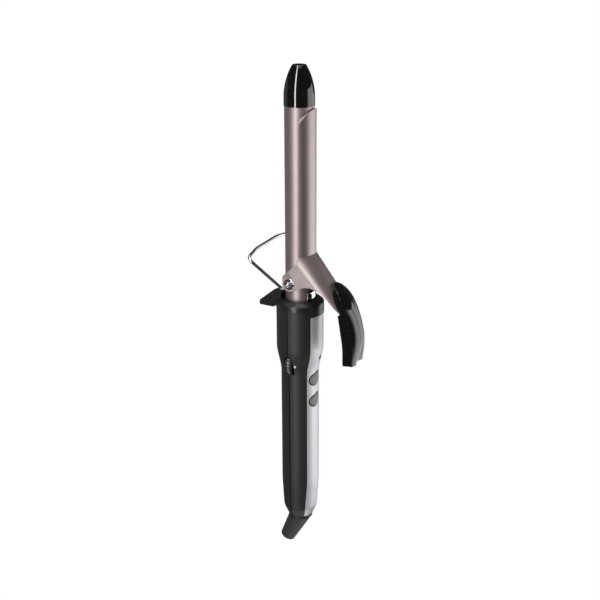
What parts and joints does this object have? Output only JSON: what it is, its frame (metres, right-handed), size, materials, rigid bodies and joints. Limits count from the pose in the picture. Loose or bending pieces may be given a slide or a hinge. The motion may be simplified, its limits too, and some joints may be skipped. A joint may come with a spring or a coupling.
{
  "type": "curling iron",
  "caption": "Hair curling iron: heated barrel with a sprung clip and thumb lever, wire stand, dial-heat handle with push buttons and a swivel cord inlet.",
  "frame": {"origin": "on the barrel's axis at the middle of the grip, where a hand holds it", "axes": "+Z along the barrel towards the tip, +X towards the lever and the silver panel, Y along the clip's pivot"},
  "size_m": [0.073, 0.062, 0.3368],
  "materials": {
    "taupe_metal": "satin metallic warm taupe",
    "gloss_black": "high gloss black",
    "satin_black": "satin black with a fine texture",
    "silver_panel": "satin silver paint",
    "grey_button": "mid grey",
    "chrome_wire": "polished chrome",
    "spring_steel": "bright spring steel",
    "zinc_steel": "zinc plated",
    "aluminium_bar": "extruded",
    "heater_ceramic": "fired, matt",
    "brass_contact": "plain",
    "lead_sleeve": "silicone sleeve",
    "insulator": "phenolic",
    "board_laminate": "green laminate",
    "lamp_lens": "dark red, translucent",
    "soft_sleeve": "satin black rubber"
  },
  "bodies": {
    "handle": {"barrel_tube": "taupe_metal", "tip_cap": "gloss_black", "collar": "satin_black", "front_shell": "satin_black", "rear_shell": "satin_black", "front_panel": "silver_panel", "pivot_eyelets": "chrome_wire", "leaf_spring": "spring_steel", "tip_screw": "zinc_steel", "shell_screws": "zinc_steel", "board_screws": "zinc_steel", "heat_spreader_front": "aluminium_bar", "heat_spreader_rear": "aluminium_bar", "tip_anchor": "aluminium_bar", "ptc_heater": "heater_ceramic", "thermistor": "heater_ceramic", "electrode_plates": "brass_contact", "contact_brushes": "brass_contact", "heater_leads": "lead_sleeve", "mains_leads": "lead_sleeve", "barrel_bushing": "insulator", "dial_potentiometer": "insulator", "tact_switches": "insulator", "control_board": "board_laminate", "led_lens": "lamp_lens"},
    "clip": {"clip": "taupe_metal", "lever_pad": "gloss_black"},
    "stand": {"stand_wire": "chrome_wire"},
    "dial": {"dial_wheel": "satin_black"},
    "on_button": {"on_button": "grey_button"},
    "off_button": {"off_button": "grey_button"},
    "cord_swivel": {"swivel_head": "satin_black", "slip_rings": "brass_contact", "strain_relief": "soft_sleeve"}
  },
  "joints": [
    {"name": "clip_hinge", "type": "hinge", "parent": "handle", "child": "clip", "pos_m": [-0.0028, 0, 0.104], "axis": [0, 1, 0], "range_deg": [0, 18], "stiffness_Nm_per_rad": 0.6, "springref_deg": -17.19, "deforming": ["leaf_spring"]},
    {"name": "stand_hinge", "type": "hinge", "parent": "handle", "child": "stand", "pos_m": [-0.0028, 0, 0.104], "axis": [0, 1, 0], "range_deg": [-74, 25]},
    {"name": "dial_turn", "type": "hinge", "parent": "handle", "child": "dial", "pos_m": [-0.0025, -0.00555, 0.0475], "axis": [1, 0, 0], "range_deg": [-135, 135]},
    {"name": "on_press", "type": "slide", "parent": "handle", "child": "on_button", "axis": [-1, 0, 0], "range_m": [0, 0.0008], "stiffness_N_per_m": 800, "springref_m": -0.0008},
    {"name": "off_press", "type": "slide", "parent": "handle", "child": "off_button", "axis": [-1, 0, 0], "range_m": [0, 0.0008], "stiffness_N_per_m": 800, "springref_m": -0.0008},
    {"name": "cord_turn", "type": "hinge", "parent": "handle", "child": "cord_swivel", "pos_m": [0, 0, -0.07], "axis": [0, 0, 1], "continuous": true}
  ]
}
